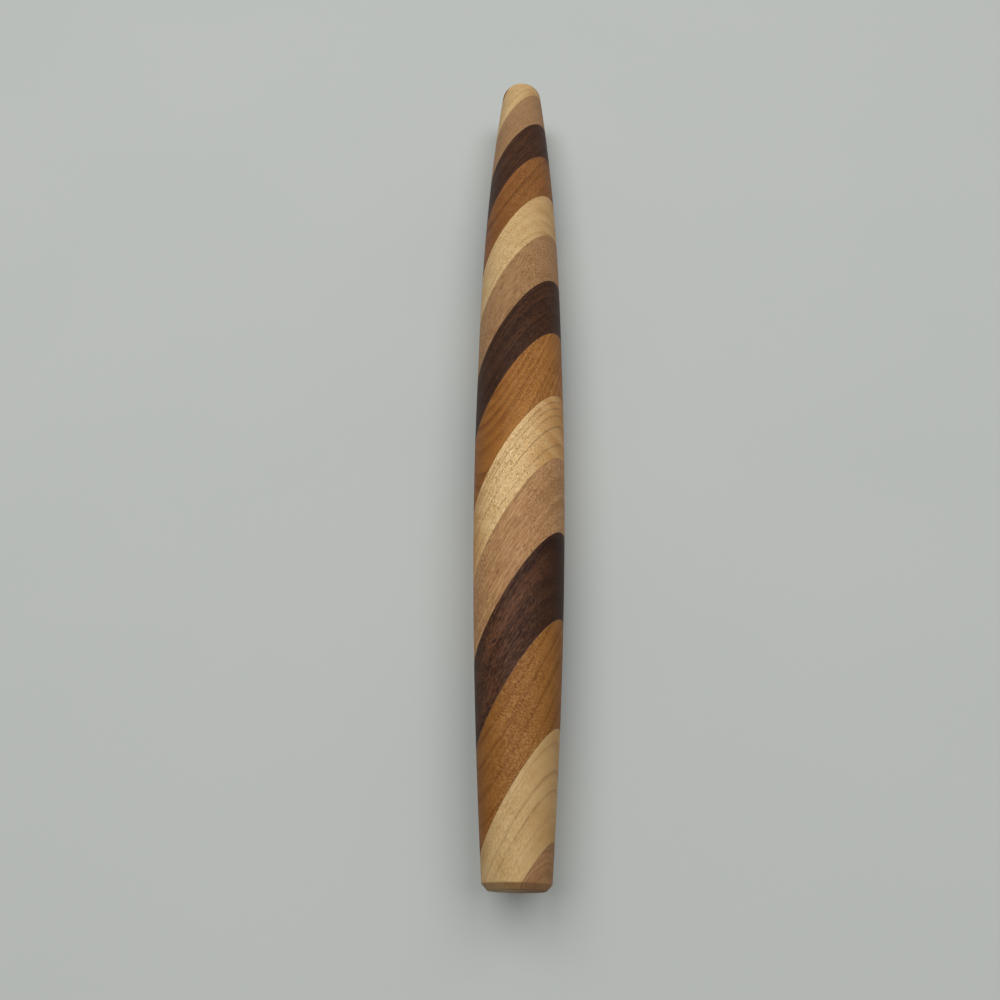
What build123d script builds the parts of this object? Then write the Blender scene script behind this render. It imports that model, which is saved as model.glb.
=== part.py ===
from build123d import *
from math import acos, cos, degrees, radians, sin, tan
import os

# A French rolling pin: one solid of revolution, turned from a slanted stack of
# glued hardwood boards. X runs along the pin's axis from its near end to its far
# end, Z is up, and the origin is on the axis at mid length.

# The turned outside
length = 508
belly_diameter = 46
belly_straight = 44
end_diameter = 27
end_chamfer = 2.3
chamfer_softening = 1.1

# The stack: boards glued face to face, and sawn through on a slant. All but the
# first and last go right across the pin, and their outermost seams would cross
# its axis a little past its ends. The seams climb towards the far end on one side
# of the pin, this many degrees around the axis from the right (-Y) towards the top.
board_count = 15
seam_past_end = 6
seam_turn = 16
glue_thickness = 0.1

# Thickness of each wood's boards, square to their glued faces
beech_thickness = 21.25
maple_thickness = 20.6
cherry_thickness = 23.2
walnut_thickness = 21.8

# How far the rough boards stand out past the turned surface
rough_overrun = 10

# The woods in the order in which they repeat, from the near end
woods = [
    ("beech", beech_thickness),
    ("maple", maple_thickness),
    ("cherry", cherry_thickness),
    ("walnut", walnut_thickness),
]
boards = [woods[place % len(woods)] for place in range(board_count)]

# The slant is the angle, from square to the axis, at which the whole boards and
# the glue between them just span the pin
whole_boards = boards[1:-1]
glue_between = glue_thickness * (len(whole_boards) - 1)
stack_height = sum(thickness for wood, thickness in whole_boards) + glue_between
seam_lean = acos(stack_height / (length + 2 * seam_past_end))


def turned_outside():
    """The whole pin as one solid: a straight belly, an arc to each end, and a
    softened chamfer around each flat end face."""
    belly_radius = belly_diameter / 2
    end_radius = end_diameter / 2
    belly_end = (belly_straight / 2, belly_radius)
    shoulder = (length / 2 - end_chamfer, end_radius)
    face_rim = (length / 2, end_radius - end_chamfer)

    taper = TangentArc(belly_end, shoulder, tangent=(1, 0))
    chamfer_slope = Line(shoulder, face_rim)
    end_face = Line(face_rim, (length / 2, 0))
    axis_side = Line((length / 2, 0), (0, 0))
    middle = Line((0, 0), (0, belly_radius))
    belly = Line((0, belly_radius), belly_end)
    half_section = make_face([taper, chamfer_slope, end_face, axis_side, middle, belly])

    by_length = half_section.vertices().group_by(Axis.X)
    rim_corner = by_length[-1].sort_by(Axis.Y)[-1]
    shoulder_corner = by_length[-2].sort_by(Axis.Y)[-1]
    half_section = fillet([rim_corner, shoulder_corner], chamfer_softening)

    far_half = revolve(half_section, Axis.X)
    return far_half + mirror(far_half, Plane.YZ)


def along_axis(thickness):
    """The stretch of the pin's axis that a thickness of the stack takes up."""
    return thickness / cos(seam_lean)


def rough_layer(start, thickness):
    """A flat layer of the stack, before turning. Its near face crosses the pin's
    axis at start, counted from the near end."""
    turn = radians(seam_turn)
    climb = Vector(0, -cos(turn), sin(turn))
    normal = Vector(cos(seam_lean), 0, 0) - climb * sin(seam_lean)
    near_face = Plane(
        origin=(start - length / 2, 0, 0),
        x_dir=normal.cross(climb),
        z_dir=normal,
    )
    slanted_radius = along_axis(belly_diameter / 2)
    reach = slanted_radius + thickness * tan(seam_lean) + rough_overrun
    layer = Box(
        2 * reach,
        2 * reach,
        thickness,
        align=(Align.CENTER, Align.CENTER, Align.MIN),
    )
    return near_face * layer


def main():
    os.makedirs("parts", exist_ok=True)
    pin = turned_outside()
    print("seam lean in degrees:", round(degrees(seam_lean), 2))

    # The first board starts well before the near end, which leaves a wedge of it
    start = -seam_past_end - along_axis(beech_thickness + glue_thickness)
    glue_films = []
    for number, (wood, thickness) in enumerate(boards, start=1):
        board = pin & rough_layer(start, thickness)
        export_step(board, f"parts/board_{number:02d}_{wood}.step")
        if number < board_count:
            film_start = start + along_axis(thickness)
            film = pin & rough_layer(film_start, glue_thickness)
            glue_films += film.solids()
            start = film_start + along_axis(glue_thickness)
    export_step(Compound(children=glue_films), "parts/glue_lines.step")


main()
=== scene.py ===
import math

import bmesh
import bpy
import numpy as np
from mathutils import Matrix, Vector


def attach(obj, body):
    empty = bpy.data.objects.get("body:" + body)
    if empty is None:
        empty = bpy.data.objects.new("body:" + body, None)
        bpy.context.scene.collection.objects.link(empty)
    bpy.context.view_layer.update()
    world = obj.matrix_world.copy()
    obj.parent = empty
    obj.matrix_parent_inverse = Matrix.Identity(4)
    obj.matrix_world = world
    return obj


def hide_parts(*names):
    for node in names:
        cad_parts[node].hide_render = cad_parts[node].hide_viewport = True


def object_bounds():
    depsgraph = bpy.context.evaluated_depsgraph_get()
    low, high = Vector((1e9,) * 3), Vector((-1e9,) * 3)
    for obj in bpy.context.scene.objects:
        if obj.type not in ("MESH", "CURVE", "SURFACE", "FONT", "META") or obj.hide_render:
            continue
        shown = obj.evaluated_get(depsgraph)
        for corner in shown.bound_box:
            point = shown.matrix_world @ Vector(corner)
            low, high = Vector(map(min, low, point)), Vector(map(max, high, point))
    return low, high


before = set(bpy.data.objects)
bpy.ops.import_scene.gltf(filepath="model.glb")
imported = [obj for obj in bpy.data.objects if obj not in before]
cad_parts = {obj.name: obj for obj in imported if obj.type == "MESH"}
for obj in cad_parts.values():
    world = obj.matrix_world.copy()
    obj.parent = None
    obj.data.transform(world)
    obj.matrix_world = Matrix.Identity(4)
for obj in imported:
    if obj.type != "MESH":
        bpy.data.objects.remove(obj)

cad_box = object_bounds()

# The beech boards. Four boards of steamed beech, planed flat and glued face to face
# with the other woods in a slanted stack. The stack is turned as one bar, so each
# board's outside is the pin's own: a straight belly, an arc to each end, a chamfer.
pin_length = cad_box[1][0] - cad_box[0][0]
belly_radius = (cad_box[1][2] - cad_box[0][2]) / 2
belly_straight = 0.044
end_radius = 0.0135
end_chamfer = 0.0023
chamfer_softening = 0.0011
rows_on_curve = 400
rows_on_softening = 8
columns_around = 288


def rounded_corner(before, corner, after):
    """Points on the arc that softens a corner of the outline. The arc touches both
    sides, at its radius times the tangent of half the turn from the corner, and each
    point is its centre plus the radius along a direction that turns evenly."""
    side_in = (corner - before) / np.linalg.norm(corner - before)
    side_out = (after - corner) / np.linalg.norm(after - corner)
    turn = math.acos(np.clip(side_in @ side_out, -1, 1))
    inward = np.array([side_in[1], -side_in[0]])
    touch = corner - side_in * chamfer_softening * math.tan(turn / 2)
    centre = touch + inward * chamfer_softening
    angles = np.linspace(0, turn, rows_on_softening)[:, None]
    return centre - chamfer_softening * (np.cos(angles) * inward - np.sin(angles) * side_in)


def half_outline():
    """The outline from the belly's middle to the centre of the far end, as points
    of distance along the axis and radius. On the curve, the radius falls below the
    belly's by the sagitta of an arc that meets the straight belly smoothly."""
    straight_end = belly_straight / 2
    shoulder = np.array([pin_length / 2 - end_chamfer, end_radius])
    rim = np.array([pin_length / 2, end_radius - end_chamfer])
    face_centre = np.array([pin_length / 2, 0])
    run = shoulder[0] - straight_end
    fall = belly_radius - end_radius
    arc_radius = (run**2 + fall**2) / (2 * fall)

    along = np.linspace(0, shoulder[0], rows_on_curve // 2)
    past_straight = np.clip(along - straight_end, 0, None)
    radius = belly_radius - arc_radius + np.sqrt(arc_radius**2 - past_straight**2)
    curve = np.stack([along, radius], axis=1)
    soft_shoulder = rounded_corner(curve[-2], shoulder, rim)
    soft_rim = rounded_corner(shoulder, rim, face_centre)
    chamfer = np.linspace(soft_shoulder[-1], soft_rim[0], rows_on_softening)[1:-1]
    face = np.linspace(soft_rim[-1], face_centre, rows_on_softening)[1:]
    curve = curve[curve[:, 0] < soft_shoulder[0, 0]]
    return np.concatenate([curve, soft_shoulder, chamfer, soft_rim, face])


far_half = half_outline()
near_half = far_half[:0:-1] * [-1, 1]
outline = np.concatenate([near_half, far_half])


def turned_surface(first, last):
    """The turned surface between two distances along the axis. A point is on the
    outline, and carried around the axis by an angle, so y is the radius times its
    cosine and z the radius times its sine. A radius of nought is one pole point."""
    rows = outline[(outline[:, 0] >= first) & (outline[:, 0] <= last)]
    angle = np.linspace(0, 2 * np.pi, columns_around, endpoint=False)
    x = np.repeat(rows[:, :1], columns_around, axis=1)
    y = rows[:, 1:] * np.cos(angle)
    z = rows[:, 1:] * np.sin(angle)
    points = np.stack([x, y, z], axis=2).reshape(-1, 3)
    here = np.arange(len(rows) - 1)[:, None] * columns_around + np.arange(columns_around)
    beside = np.roll(here, -1, axis=1)
    faces = np.stack([here, beside, beside + columns_around, here + columns_around], axis=2)
    return points, faces.reshape(-1, 4)


# Every seam leans from square to the axis by one angle, and climbs towards the far
# end on one side of the pin. The first and last board are only wedges at its ends,
# and the boards between them, with their glue, just span the pin and a little more.
seam_turn = math.radians(16)
seam_past_end = 0.006
glue_thickness = 0.0001
wood_thickness = {"beech": 0.02125, "maple": 0.0206, "cherry": 0.0232, "walnut": 0.0218}
board_names = sorted(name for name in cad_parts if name.startswith("board"))
board_wood = {name: name.split("_")[2] for name in board_names}
whole_boards = board_names[1:-1]
stack_height = sum(wood_thickness[board_wood[name]] for name in whole_boards)
stack_height += glue_thickness * (len(whole_boards) - 1)
seam_lean = math.acos(stack_height / (pin_length + 2 * seam_past_end))
climb = Vector((0, -math.cos(seam_turn), math.sin(seam_turn)))
through_boards = Vector((math.cos(seam_lean), 0, 0)) - climb * math.sin(seam_lean)
along_fibres = Vector((math.sin(seam_lean), 0, 0)) + climb * math.cos(seam_lean)
across_boards = through_boards.cross(along_fibres)


def along_axis(thickness):
    """The stretch of the pin's axis that a thickness of the stack takes up, which is
    the thickness over the cosine of the seams' lean."""
    return thickness / math.cos(seam_lean)


board_start = {}
axis_place = -pin_length / 2 - seam_past_end
axis_place -= along_axis(wood_thickness[board_wood[board_names[0]]] + glue_thickness)
for name in board_names:
    board_start[name] = axis_place
    axis_place += along_axis(wood_thickness[board_wood[name]] + glue_thickness)

# How near two points are one point, how near a point lies on a cut, and how
# squarely a face looks through the stack if it is a flat glued face
same_point = 1e-7
on_the_cut = 1e-8
glued_face_squareness = 0.999


def cut_layer(mesh, start, thickness):
    """Adds to a bmesh what the lathe leaves of one layer of the stack: the turned
    surface, cut by two planes and closed by flat faces. A point is in the layer if
    its distance through the stack from the layer's near face, which crosses the
    axis at start, is between nought and the thickness."""
    reach = belly_radius * math.tan(seam_lean) + 2 * pin_length / rows_on_curve
    end = start + along_axis(thickness)
    points, faces = turned_surface(start - reach, end + reach)
    surface = bpy.data.meshes.new("layer")
    surface.from_pydata(points.tolist(), [], faces.tolist())
    layer = bmesh.new()
    layer.from_mesh(surface)
    bpy.data.meshes.remove(surface)
    bmesh.ops.remove_doubles(layer, verts=layer.verts, dist=same_point)
    for place, is_near in ((start, True), (end, False)):
        cut = bmesh.ops.bisect_plane(
            layer,
            geom=layer.verts[:] + layer.edges[:] + layer.faces[:],
            dist=on_the_cut,
            plane_co=(place, 0, 0),
            plane_no=through_boards,
            clear_inner=is_near,
            clear_outer=not is_near,
        )
        rim = [edge for edge in cut["geom_cut"] if isinstance(edge, bmesh.types.BMEdge)]
        if rim:
            bmesh.ops.contextual_create(layer, geom=rim)
    bmesh.ops.recalc_face_normals(layer, faces=layer.faces)
    for face in layer.faces:
        face.smooth = abs(face.normal.dot(through_boards)) < glued_face_squareness
    finished = bpy.data.meshes.new("layer")
    layer.to_mesh(finished)
    layer.free()
    mesh.from_mesh(finished)
    bpy.data.meshes.remove(finished)


def turned_piece(name, layers, material):
    """A new object of one or more layers, with the seams' edges kept sharp."""
    mesh = bmesh.new()
    for start, thickness in layers:
        cut_layer(mesh, start, thickness)
    data = bpy.data.meshes.new(name)
    mesh.to_mesh(data)
    mesh.free()
    data.set_sharp_from_angle(angle=math.radians(30))
    data.materials.append(material)
    piece = bpy.data.objects.new(name, data)
    bpy.context.scene.collection.objects.link(piece)
    return piece


def add_node(tree, kind, inputs=None, **settings):
    """A new node, with its settings, and each named input linked or set."""
    node = tree.nodes.new(kind)
    for setting, value in settings.items():
        setattr(node, setting, value)
    for socket, value in (inputs or {}).items():
        if isinstance(value, bpy.types.NodeSocket):
            tree.links.new(value, node.inputs[socket])
        else:
            node.inputs[socket].default_value = value
    return node


def number(tree, operation, *values, clamp=False):
    """The result of one Math node."""
    inputs = dict(enumerate(values))
    return add_node(tree, "ShaderNodeMath", inputs, operation=operation, use_clamp=clamp).outputs[0]


def rise(tree, value, low, high, bottom=0.0, top=1.0):
    """A value eased from bottom at low to top at high."""
    inputs = {"Value": value, "From Min": low, "From Max": high, "To Min": bottom, "To Max": top}
    return add_node(tree, "ShaderNodeMapRange", inputs, interpolation_type="SMOOTHSTEP").outputs[0]


def stain(tree, share, wood_colour, stain_colour):
    """One colour laid over another by a share. Inputs 6 and 7 and output 2 are the
    Mix node's sockets for colours."""
    inputs = {0: share, 6: wood_colour, 7: stain_colour}
    return add_node(tree, "ShaderNodeMix", inputs, data_type="RGBA").outputs[2]


def wood_figure():
    """The figure that every board shares, in millimetres: x along its fibres, y
    across it and z through its thickness. Rings lie nearly flat in the board, the
    place of each being z plus a slope, a bow and a slow wander. All else is noise
    or cells stretched the way a tree grows them: streaks, fibres and pores along
    the fibres, and thin rays through the rings.
    A surface is quartered by the square of how far it faces along the rings. Rays
    show by the square of that, as flakes, and elsewhere as faint dashes. One less the
    quartering is the flat face, used only to lay painted shade. Soft noise across the
    grain makes bands of painted sheen. The share of cut ends is the square of how far
    the surface faces along the fibres, which is real end grain, and more on the pin's
    two end faces and chamfers, partly for their end grain and partly as painted shade."""
    tree = bpy.data.node_groups.new("wood_figure", "ShaderNodeTree")
    numbers = ("Seed", "Ring Slope", "Ring Bow", "Ring Wander", "Fine Ring Width")
    numbers += ("Streak Width", "Fibre Length", "Fibre Width")
    numbers += ("Pore Length", "Pore Width", "Pore Share")
    numbers += ("Ray Length", "Ray Width", "Ray Depth")
    results = ("Ring Place", "Fine Rings", "Streaks", "Fibres", "Pores", "Rays", "Sheen Bands")
    results += ("Shaded Flat Side", "Cut Ends And Shade")
    for name in ("Position", "Facing"):
        tree.interface.new_socket(name, in_out="INPUT", socket_type="NodeSocketVector")
    for name in numbers:
        tree.interface.new_socket(name, in_out="INPUT", socket_type="NodeSocketFloat")
    for name in results:
        tree.interface.new_socket(name, in_out="OUTPUT", socket_type="NodeSocketFloat")
    given = tree.nodes.new("NodeGroupInput").outputs
    result = tree.nodes.new("NodeGroupOutput").inputs

    def point(x, y, z):
        return add_node(tree, "ShaderNodeCombineXYZ", {0: x, 1: y, 2: z}).outputs[0]

    def point_math(operation, first, second):
        inputs = {0: first, 1: second}
        return add_node(tree, "ShaderNodeVectorMath", inputs, operation=operation)

    def noise(position, size, detail, roughness=0.55):
        place = point_math("DIVIDE", position, point(*size)).outputs[0]
        inputs = {"Vector": place, "Scale": 1.0, "Detail": detail, "Roughness": roughness}
        return add_node(tree, "ShaderNodeTexNoise", inputs).outputs[0]

    def specks(position, size, share):
        place = point_math("DIVIDE", position, point(*size)).outputs[0]
        inputs = {"Vector": place, "Scale": 1.0, "Randomness": 1.0}
        cells = add_node(tree, "ShaderNodeTexVoronoi", inputs)
        chance = add_node(tree, "ShaderNodeSeparateColor", {0: cells.outputs["Color"]}).outputs[0]
        speck_core = 0.22
        speck_rim = 0.42
        body = rise(tree, cells.outputs["Distance"], speck_core, speck_rim, 1.0, 0.0)
        return number(tree, "MULTIPLY", body, number(tree, "LESS_THAN", chance, share))

    # Each seed is a place in the tree that is far from the others
    own = add_node(tree, "ShaderNodeSeparateXYZ", {0: given["Position"]}).outputs
    seed = point(given["Seed"], given["Seed"], given["Seed"])
    step_per_seed = (137, 713, 379)
    shift = point_math("MULTIPLY", seed, step_per_seed).outputs[0]
    in_tree = point_math("ADD", given["Position"], shift).outputs[0]
    shifted = add_node(tree, "ShaderNodeSeparateXYZ", {0: in_tree}).outputs

    # Slope and bow are nought where the board's upper edge meets the turned surface
    upper_edge = -21.5
    ring_slope = given["Ring Slope"]
    from_edge = number(tree, "SUBTRACT", own[1], upper_edge)
    slope = number(tree, "MULTIPLY", from_edge, ring_slope)
    square = number(tree, "MULTIPLY", own[1], own[1])
    bow = number(tree, "SUBTRACT", square, upper_edge**2)
    bow = number(tree, "MULTIPLY", bow, given["Ring Bow"])
    wander_size = (85, 16, 16)
    wander = number(tree, "SUBTRACT", noise(in_tree, wander_size, detail=2.0), 0.5)
    wander = number(tree, "MULTIPLY", wander, given["Ring Wander"])
    sloped = number(tree, "ADD", own[2], slope)
    ring_place = number(tree, "ADD", sloped, number(tree, "ADD", bow, wander))
    ring_point = point(shifted[0], shifted[1], ring_place)

    # How far the surface faces along the fibres, across the board and through it
    fibre_cut = point_math("DOT_PRODUCT", given["Facing"], tuple(along_fibres)).outputs["Value"]
    edge_cut = point_math("DOT_PRODUCT", given["Facing"], tuple(across_boards)).outputs["Value"]
    face_cut = point_math("DOT_PRODUCT", given["Facing"], tuple(through_boards)).outputs["Value"]
    ray_cut = number(tree, "SUBTRACT", edge_cut, number(tree, "MULTIPLY", face_cut, ring_slope))
    quartered = number(tree, "MULTIPLY", ray_cut, ray_cut)
    steepness = number(tree, "MULTIPLY_ADD", ring_slope, ring_slope, 1.0)
    quartered = number(tree, "DIVIDE", quartered, steepness)
    faintest_ray = 0.1
    ray_show = number(tree, "MULTIPLY", quartered, quartered)
    ray_show = number(tree, "MULTIPLY_ADD", ray_show, 1 - faintest_ray, faintest_ray)
    # Faces that look along the axis, the end faces and chamfers, get more of the cut-ends share:
    # partly their end grain, partly painted shade
    end_cut = point_math("DOT_PRODUCT", given["Facing"], (1, 0, 0)).outputs["Value"]
    end_face = number(tree, "MULTIPLY", end_cut, end_cut)
    extra_for_ends_and_shade = 0.6
    ends_and_shade_share = rise(tree, end_face, 0.05, 0.5, 0.0, extra_for_ends_and_shade)

    # Lengths, widths and depths of the figure's marks
    fine_ring = (140, 45, given["Fine Ring Width"])
    streak = (90, 10, given["Streak Width"])
    fibre = (given["Fibre Length"], given["Fibre Width"], given["Fibre Width"])
    pore = (given["Pore Length"], given["Pore Width"], given["Pore Width"])
    ray = (given["Ray Length"], given["Ray Width"], given["Ray Depth"])
    # Soft bands across the grain, for painted sheen
    sheen_bands = (7, 24, 24)
    ray_noise = number(tree, "SUBTRACT", noise(in_tree, ray, detail=2.0), 0.5)
    made = {
        "Ring Place": ring_place,
        "Fine Rings": noise(ring_point, fine_ring, detail=2.0),
        "Streaks": noise(ring_point, streak, detail=4.0, roughness=0.6),
        "Fibres": noise(in_tree, fibre, detail=3.0, roughness=0.65),
        "Pores": specks(in_tree, pore, given["Pore Share"]),
        "Rays": number(tree, "MULTIPLY_ADD", ray_noise, ray_show, 0.5),
        "Sheen Bands": noise(in_tree, sheen_bands, detail=1.0),
        "Shaded Flat Side": number(tree, "SUBTRACT", 1.0, quartered, clamp=True),
        "Cut Ends And Shade": number(tree, "MULTIPLY_ADD", fibre_cut, fibre_cut, ends_and_shade_share, clamp=True),
    }
    for name, socket in made.items():
        tree.links.new(socket, result[name])
    return tree


figure_tree = wood_figure()


def ring_lines(tree, place, thickness, rings, reach):
    """Growth rings at chosen shares of a board's thickness, counted from its near
    face, each with its strength. The wood darkens over a reach up to each ring, and
    is pale just past it. Where the rings slope, the same run of them follows on."""
    share = number(tree, "ADD", number(tree, "DIVIDE", place, thickness), 0.5)
    share = number(tree, "FRACT", share)
    ramp = add_node(tree, "ShaderNodeValToRGB", {0: share})
    stops = ramp.color_ramp.elements
    stops[1].color = (0, 0, 0, 1)
    first_stop = 0.001
    last_stop = 0.999
    past_ring = reach * 0.35
    for ring, strength in rings.items():
        for offset, level in ((-reach, 0), (0, strength), (past_ring, 0)):
            stop = stops.new(min(max(ring + offset, first_stop), last_stop))
            stop.color = (level, level, level, 1)
    return ramp.outputs[0]


def oiled_wood(name, look):
    """One board's material: its wood's colours laid over each other by the shares
    of the figure, some of them painted shade and painted sheen, all scaled by the
    board's level, under a thin oil finish that is rougher where fibres end."""
    thickness = wood_thickness[board_wood[name]]
    middle = board_start[name] + along_axis(thickness / 2)
    board_axes = Matrix((along_fibres, across_boards, through_boards)).transposed()
    material = bpy.data.materials.new(name + "_oiled")
    material.use_nodes = True
    tree = material.node_tree
    shader = tree.nodes["Principled BSDF"]
    texture = add_node(tree, "ShaderNodeTexCoord").outputs
    millimetre = 0.001
    to_board = {
        "Vector": texture["Object"],
        "Location": (middle, 0, 0),
        "Rotation": board_axes.to_euler(),
        "Scale": (millimetre, millimetre, millimetre),
    }
    position = add_node(tree, "ShaderNodeMapping", to_board, vector_type="TEXTURE").outputs[0]
    inputs = {"Position": position, "Facing": texture["Normal"], **look["figure"]}
    inputs.update({"Seed": look["seed"], "Ring Slope": look["slope"]})
    figure = add_node(tree, "ShaderNodeGroup", inputs, node_tree=figure_tree).outputs

    # Every colour is scaled by the board's level, which holds its own tone and, on some boards,
    # painted light
    def toned(colour):
        return tuple(value * look["tone"] for value in colour) + (1,)

    def laid_over(wood_colour, mask, amount, colour):
        share = number(tree, "MULTIPLY", mask, amount, clamp=True)
        return stain(tree, share, wood_colour, toned(colour))

    thickness /= millimetre
    lines = ring_lines(tree, figure["Ring Place"], thickness, look["rings"], look["ring_reach"])

    # Noise stays about 0.5, so each mask rises between two values near that
    streaks = rise(tree, figure["Streaks"], 0.32, 0.68)
    fine_rings = rise(tree, figure["Fine Rings"], 0.36, 0.64)
    fibres = rise(tree, figure["Fibres"], 0.3, 0.7)
    ring_breaks = rise(tree, figure["Fibres"], 0.3, 0.55, 0.5, 1.0)
    dark_rays = rise(tree, figure["Rays"], 0.5, 0.63)
    gleaming_rays = rise(tree, figure["Rays"], 0.5, 0.37)
    sheen_band_mask = rise(tree, figure["Sheen Bands"], 0.35, 0.75)
    dark_share = number(tree, "MULTIPLY", streaks, look["streaks"])
    dark_share = number(tree, "MULTIPLY_ADD", fine_rings, look["fine_rings"], dark_share)
    dark_share = number(tree, "MULTIPLY_ADD", fibres, look["fibres"], dark_share, clamp=True)
    broken_lines = number(tree, "MULTIPLY", lines, ring_breaks)
    colour = stain(tree, dark_share, toned(look["pale"]), toned(look["dark"]))
    # Painted shade: the colour darkens where the surface faces through the rings, standing in for
    # the shade along one side of the pin
    colour = laid_over(colour, figure["Shaded Flat Side"], look["flat"], look["flat_side_shade_colour"])
    # Cut ends darken the colour: real end grain, and painted shade on the chamfers, the end faces
    # and the pin's sides
    colour = laid_over(colour, figure["Cut Ends And Shade"], look["cut_ends_and_shade"], look["cut_ends_and_shade_colour"])
    colour = laid_over(colour, broken_lines, look["ring_strength"], look["ring_colour"])
    colour = laid_over(colour, figure["Pores"], look["pores"], look["pore_colour"])
    colour = laid_over(colour, dark_rays, look["rays"], look["ray_colour"])
    # Paler ray flakes: partly the rays' own paler wood, partly painted sheen where they shimmer
    colour = laid_over(colour, gleaming_rays, look["gleam"], look["gleam_colour"])
    # Painted sheen: pale soft bands across the grain stand for the wood's shimmer
    colour = laid_over(colour, sheen_band_mask, look["sheen_bands"], look["sheen_band_colour"])
    tree.links.new(colour, shader.inputs["Base Color"])

    # Fibres and cut ends roughen the oil
    fibre_roughness = 0.16
    end_roughness = 0.12
    rough = number(tree, "MULTIPLY_ADD", figure["Fibres"], fibre_roughness, look["roughness"])
    rough = number(tree, "MULTIPLY_ADD", figure["Cut Ends And Shade"], end_roughness, rough)
    tree.links.new(rough, shader.inputs["Roughness"])

    # Fibres stand a hair proud, rings less so, and pores are sunk
    fibre_height = 0.35
    ring_height = 0.15
    relief_depth = 0.0002
    height = number(tree, "MULTIPLY", figure["Fibres"], fibre_height)
    height = number(tree, "MULTIPLY_ADD", figure["Pores"], -look["pore_depth"], height)
    height = number(tree, "MULTIPLY_ADD", lines, ring_height, height)
    relief = {"Height": height, "Strength": look["relief"], "Distance": relief_depth}
    tree.links.new(add_node(tree, "ShaderNodeBump", relief).outputs[0], shader.inputs["Normal"])
    shader.inputs["Specular IOR Level"].default_value = 0.09
    return material


def make_board(name, wood_look, **own_look):
    """One turned board in its own wood, standing for its solid."""
    look = {**wood_look, **own_look}
    wood = board_wood[name]
    layer = (board_start[name], wood_thickness[wood])
    board = turned_piece(name + "_turned", [layer], oiled_wood(name, look))
    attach(board, "root")
    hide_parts(name)


beech = {
    "pale": (0.5, 0.282, 0.13),
    "dark": (0.28, 0.14, 0.056),
    "ring_colour": (0.22, 0.11, 0.05),
    "pore_colour": (0.16, 0.075, 0.033),
    "ray_colour": (0.2, 0.095, 0.038),
    "gleam_colour": (0.5, 0.31, 0.155),
    "sheen_band_colour": (0.52, 0.32, 0.17),
    "flat_side_shade_colour": (0.3, 0.15, 0.06),
    "cut_ends_and_shade_colour": (0.18, 0.09, 0.042),
    "figure": {
        "Ring Bow": 0.003, "Ring Wander": 2.4, "Fine Ring Width": 0.8,
        "Streak Width": 2.2, "Fibre Length": 26.0, "Fibre Width": 0.6,
        "Pore Length": 13.0, "Pore Width": 0.75, "Pore Share": 0.7,
        "Ray Length": 2.6, "Ray Width": 0.6, "Ray Depth": 0.6,
    },
    "ring_reach": 0.06, "ring_strength": 0.3, "streaks": 0.15, "fine_rings": 0.5,
    "fibres": 0.85, "pores": 0.75, "rays": 0.2, "gleam": 0.25, "sheen_bands": 0.1,
    "flat": 0.0, "cut_ends_and_shade": 0.5,
    "roughness": 0.42, "pore_depth": 0.4, "relief": 0.25,
}
make_board("board_01_beech", beech, tone=0.77, rings={0.3: 1, 0.8: 1}, seed=1, slope=0.3,
           pale=(0.47, 0.242, 0.108), ring_strength=0.15, fibres=0.5, pores=0.2)
make_board("board_05_beech", beech, tone=1.1, rings={0.22: 1, 0.55: 1, 0.81: 1}, seed=2, slope=-0.2)
make_board("board_09_beech", beech, tone=0.86, rings={0.35: 1, 0.7: 1}, seed=3, slope=0.5,
           fine_rings=0.2)
make_board("board_13_beech", beech, tone=0.75, rings={0.3: 1, 0.6: 1}, seed=4, slope=-0.4,
           fine_rings=0.2, fibres=0.5, pores=0.35)

# The maple boards. Four boards of hard maple, pale gold under the oil, with thin
# brown ring lines well apart and fine specks where the lathe cuts across the rays.
maple = {
    "pale": (0.67, 0.448, 0.205),
    "dark": (0.47, 0.285, 0.108),
    "ring_colour": (0.17, 0.085, 0.03),
    "pore_colour": (0.25, 0.14, 0.052),
    "ray_colour": (0.3, 0.17, 0.06),
    "gleam_colour": (0.8, 0.6, 0.34),
    "sheen_band_colour": (0.78, 0.58, 0.31),
    "flat_side_shade_colour": (0.42, 0.19, 0.05),
    "cut_ends_and_shade_colour": (0.275, 0.147, 0.058),
    "figure": {
        "Ring Bow": 0.002, "Ring Wander": 1.6, "Fine Ring Width": 0.9,
        "Streak Width": 3.0, "Fibre Length": 22.0, "Fibre Width": 0.7,
        "Pore Length": 2.2, "Pore Width": 0.8, "Pore Share": 0.6,
        "Ray Length": 1.8, "Ray Width": 0.35, "Ray Depth": 0.35,
    },
    "ring_reach": 0.04, "ring_strength": 0.73, "streaks": 0.5, "fine_rings": 0.2,
    "fibres": 0.2, "pores": 0.12, "rays": 0.6, "gleam": 0.55, "sheen_bands": 0.2,
    "flat": 0.35, "cut_ends_and_shade": 1.0,
    "roughness": 0.38, "pore_depth": 0.1, "relief": 0.15,
}
rings_02 = {0.27: 0.5, 0.49: 0.9, 0.66: 1, 0.92: 0.6}
rings_06 = {0.17: 0.8, 0.45: 1, 0.63: 0.7, 0.76: 0.7, 0.87: 0.8}
# Board 02 is scaled darker, partly as painted shade at the near end, and board 06 lighter, partly
# as a painted highlight on the belly
make_board("board_02_maple", maple, tone=0.83, rings=rings_02, seed=11, slope=0.1,
           ring_strength=0.5, rays=0.35, gleam=0.3)
make_board("board_06_maple", maple, tone=1.08, rings=rings_06, seed=12, slope=0.0,
           ring_strength=0.95, pores=0.95, rays=0.42, gleam=0.6, flat=1.0)
make_board("board_10_maple", maple, tone=0.93, rings={0.15: 0.4, 0.42: 0.3}, seed=13, slope=0.3,
           rays=0.45, gleam=0.5, pores=0.4)
make_board("board_14_maple", maple, tone=0.9, rings={0.2: 0.3, 0.6: 0.3}, seed=14, slope=0.3,
           rays=0.3, gleam=0.3)
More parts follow.
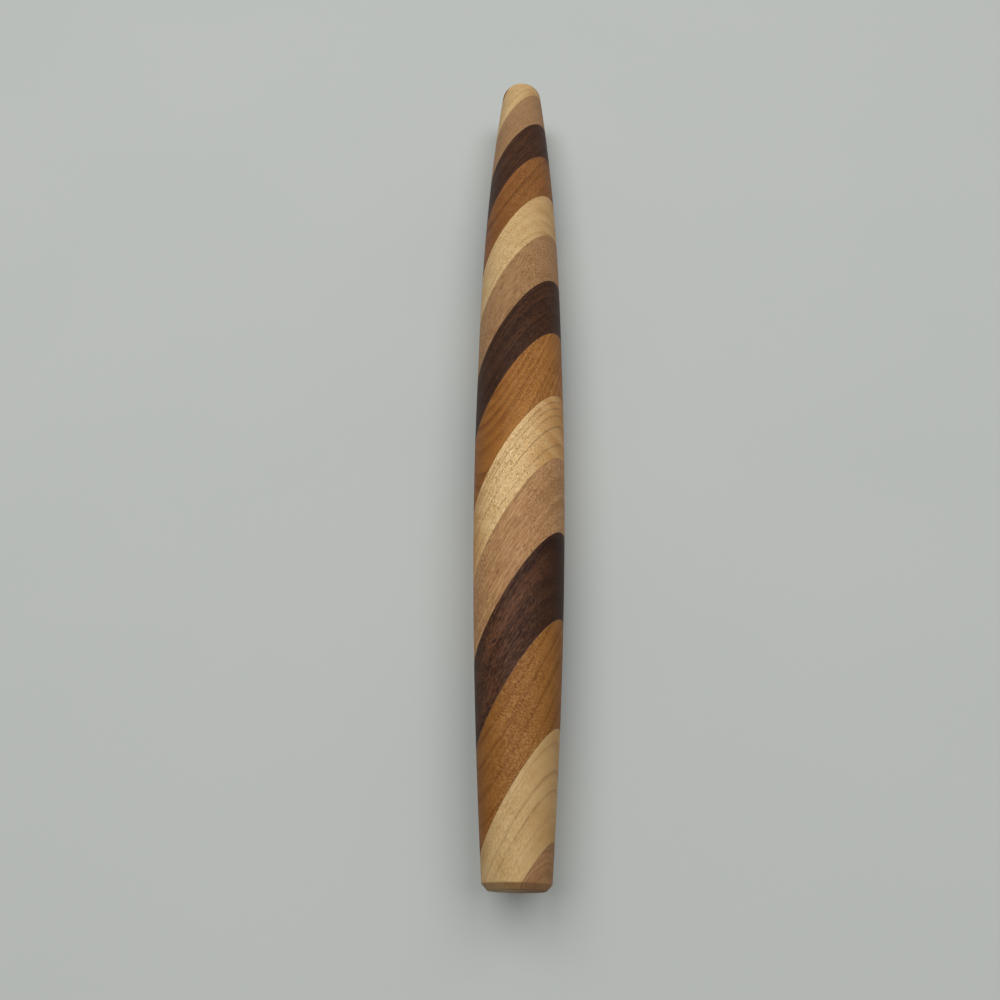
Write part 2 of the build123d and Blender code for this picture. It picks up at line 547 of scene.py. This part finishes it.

# The cherry boards. Four boards of black cherry, gone warm orange brown with light
# and oil, with broad soft bands along the rings, and golden flakes of ray that are
# partly their paler wood and partly painted sheen.
cherry = {
    "pale": (0.39, 0.168, 0.038),
    "dark": (0.21, 0.075, 0.013),
    "ring_colour": (0.12, 0.036, 0.007),
    "pore_colour": (0.13, 0.042, 0.009),
    "ray_colour": (0.14, 0.047, 0.009),
    "gleam_colour": (0.5, 0.25, 0.085),
    "sheen_band_colour": (0.45, 0.21, 0.06),
    "flat_side_shade_colour": (0.22, 0.078, 0.015),
    "cut_ends_and_shade_colour": (0.1, 0.036, 0.01),
    "figure": {
        "Ring Bow": 0.004, "Ring Wander": 3.2, "Fine Ring Width": 1.1,
        "Streak Width": 3.2, "Fibre Length": 20.0, "Fibre Width": 0.6,
        "Pore Length": 2.2, "Pore Width": 0.8, "Pore Share": 0.5,
        "Ray Length": 0.4, "Ray Width": 0.5, "Ray Depth": 1.3,
    },
    "ring_reach": 0.07, "ring_strength": 0.65, "streaks": 0.45, "fine_rings": 0.25,
    "fibres": 0.4, "pores": 0.5, "rays": 0.45, "gleam": 0.65, "sheen_bands": 0.15,
    "flat": 0.2, "cut_ends_and_shade": 0.5,
    "roughness": 0.4, "pore_depth": 0.2, "relief": 0.2,
}
rings_03 = {0.15: 0.6, 0.45: 0.9, 0.7: 1, 0.9: 0.6}
make_board("board_03_cherry", cherry, tone=0.83, rings=rings_03, seed=21, slope=-0.45,
           ring_reach=0.05, streaks=0.35, flat=0.5)
rings_07 = {0.3: 0.6, 0.48: 1.0, 0.66: 1.2, 0.82: 1.1, 0.98: 1.3}
make_board("board_07_cherry", cherry, tone=1.07, rings=rings_07, seed=22, slope=-1.0,
           ring_reach=0.09, flat=0.75)
make_board("board_11_cherry", cherry, tone=0.74, rings={0.25: 0.6, 0.5: 1.4, 0.8: 0.5}, seed=23,
           slope=-0.6, ring_reach=0.12, pale=(0.4, 0.145, 0.042))
make_board("board_15_cherry", cherry, tone=0.9, rings={0.5: 0.5}, seed=24, slope=0.0)

# The walnut boards. Three boards of black walnut, dark chocolate with paler reddish
# streaks, and with pores open enough to see and feel as fine dark dashes.
walnut = {
    "pale": (0.105, 0.04, 0.016),
    "dark": (0.034, 0.012, 0.0055),
    "ring_colour": (0.014, 0.006, 0.004),
    "pore_colour": (0.012, 0.005, 0.0035),
    "ray_colour": (0.012, 0.005, 0.0035),
    "gleam_colour": (0.2, 0.1, 0.06),
    "sheen_band_colour": (0.11, 0.055, 0.033),
    "flat_side_shade_colour": (0.03, 0.011, 0.005),
    "cut_ends_and_shade_colour": (0.018, 0.008, 0.006),
    "figure": {
        "Ring Bow": 0.005, "Ring Wander": 4.0, "Fine Ring Width": 1.3,
        "Streak Width": 2.6, "Fibre Length": 14.0, "Fibre Width": 0.55,
        "Pore Length": 7.0, "Pore Width": 0.7, "Pore Share": 0.6,
        "Ray Length": 3.0, "Ray Width": 0.55, "Ray Depth": 0.55,
    },
    "ring_reach": 0.14, "ring_strength": 0.7, "streaks": 0.75, "fine_rings": 0.3,
    "fibres": 0.6, "pores": 0.9, "rays": 0.3, "gleam": 0.3, "sheen_bands": 0.1,
    "flat": 0.2, "cut_ends_and_shade": 0.5,
    "roughness": 0.42, "pore_depth": 0.8, "relief": 0.3,
}
make_board("board_04_walnut", walnut, tone=1.0, rings={0.3: 0.5, 0.52: 0.5, 0.93: 1}, seed=31,
           slope=0.2, ring_reach=0.1, streaks=0.4, pale=(0.16, 0.064, 0.029), flat=0.9)
make_board("board_08_walnut", walnut, tone=0.86, rings={0.3: 1, 0.62: 0.8, 0.9: 1}, seed=32,
           slope=0.05, ring_reach=0.06, streaks=0.35, gleam=0.15)
make_board("board_12_walnut", walnut, tone=0.92, rings={0.35: 0.7, 0.75: 0.7}, seed=33,
           slope=-0.6, streaks=0.4, gleam=0.1)

# The glue lines. Hardened wood glue fills the fourteen seams, and is turned flush
# with the boards, so it shows as a hairline that oil and use have darkened.
dark_glue = (0.05, 0.028, 0.014, 1)
amber_glue = (0.1, 0.06, 0.03, 1)
glue = bpy.data.materials.new("glue_line")
glue.use_nodes = True
tree = glue.node_tree
shader = tree.nodes["Principled BSDF"]
position = add_node(tree, "ShaderNodeTexCoord").outputs["Object"]
grime_inputs = {"Vector": position, "Scale": 900.0, "Detail": 2.0}
grime = add_node(tree, "ShaderNodeTexNoise", grime_inputs).outputs[0]
colour = stain(tree, grime, dark_glue, amber_glue)
tree.links.new(colour, shader.inputs["Base Color"])
shader.inputs["Roughness"].default_value = 0.5
seams = []
for name in board_names[:-1]:
    seam_start = board_start[name] + along_axis(wood_thickness[board_wood[name]])
    seams.append((seam_start, glue_thickness))
glue_lines = turned_piece("glue_lines_turned", seams, glue)
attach(glue_lines, "root")
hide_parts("glue_lines")

# The floor. A plain pale matt floor with the faintest mottle. The pin lies on its
# belly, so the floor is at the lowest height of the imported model's box.
floor_reach = 3.0
floor_height = cad_box[0][2]
floor_grey = (0.45, 0.47, 0.452, 1)
floor_pale = (0.475, 0.492, 0.47, 1)
x, y = np.meshgrid([-floor_reach, floor_reach], [-floor_reach, floor_reach])
corners = np.stack([x.ravel(), y.ravel(), np.full(4, floor_height)], axis=1)
floor_mesh = bpy.data.meshes.new("floor")
floor_mesh.from_pydata(corners.tolist(), [], [(0, 1, 3, 2)])
floor_paint = bpy.data.materials.new("pale_floor")
floor_paint.use_nodes = True
tree = floor_paint.node_tree
shader = tree.nodes["Principled BSDF"]
position = add_node(tree, "ShaderNodeTexCoord").outputs["Object"]
mottle_inputs = {"Vector": position, "Scale": 6.0, "Detail": 3.0}
mottle = add_node(tree, "ShaderNodeTexNoise", mottle_inputs).outputs[0]
colour = stain(tree, mottle, floor_grey, floor_pale)
tree.links.new(colour, shader.inputs["Base Color"])
shader.inputs["Roughness"].default_value = 0.8
floor_mesh.materials.append(floor_paint)
floor = bpy.data.objects.new("floor", floor_mesh)
bpy.context.scene.collection.objects.link(floor)

# The light. An even pale sky all around, and a softbox high on each side of the pin,
# longer along it than across, and turned to face its middle. So the pin's shadow is
# soft, and deepest close beside it.
sky = bpy.data.worlds.new("studio")
sky.use_nodes = True
background = sky.node_tree.nodes["Background"].inputs
background["Color"].default_value = (0.97, 0.99, 1.0, 1)
background["Strength"].default_value = 0.28
bpy.context.scene.world = sky

softbox_length = 1.9
softbox_width = 1.35
left_softbox = ("left", (0.45, 0.77, 2.0), 27)
right_softbox = ("right", (0.45, -0.88, 2.0), 20.5)
for side, place, energy in (left_softbox, right_softbox):
    softbox = bpy.data.lights.new("softbox_" + side, "AREA")
    softbox.shape = "RECTANGLE"
    softbox.size = softbox_length
    softbox.size_y = softbox_width
    softbox.energy = energy
    softbox_object = bpy.data.objects.new("softbox_" + side, softbox)
    bpy.context.scene.collection.objects.link(softbox_object)
    softbox_object.location = place
    tilt_to_pin = math.asin(-place[1] / Vector(place).length)
    softbox_object.rotation_euler = (tilt_to_pin, math.atan2(place[0], place[2]), 0)

# The camera. It stands over the near end and looks down along the pin, through a
# wide lens that makes the far end look much smaller.
camera = bpy.data.cameras.new("camera")
camera.lens = 27
camera.sensor_width = 36
camera_object = bpy.data.objects.new("camera", camera)
bpy.context.scene.collection.objects.link(camera_object)
camera_object.location = (-0.27169, 0.00334, 0.31838)
camera_object.rotation_euler = (math.radians(30.727), math.radians(0.48), math.radians(-88.954))
bpy.context.scene.camera = camera_object
bpy.context.scene.view_settings.view_transform = "Standard"
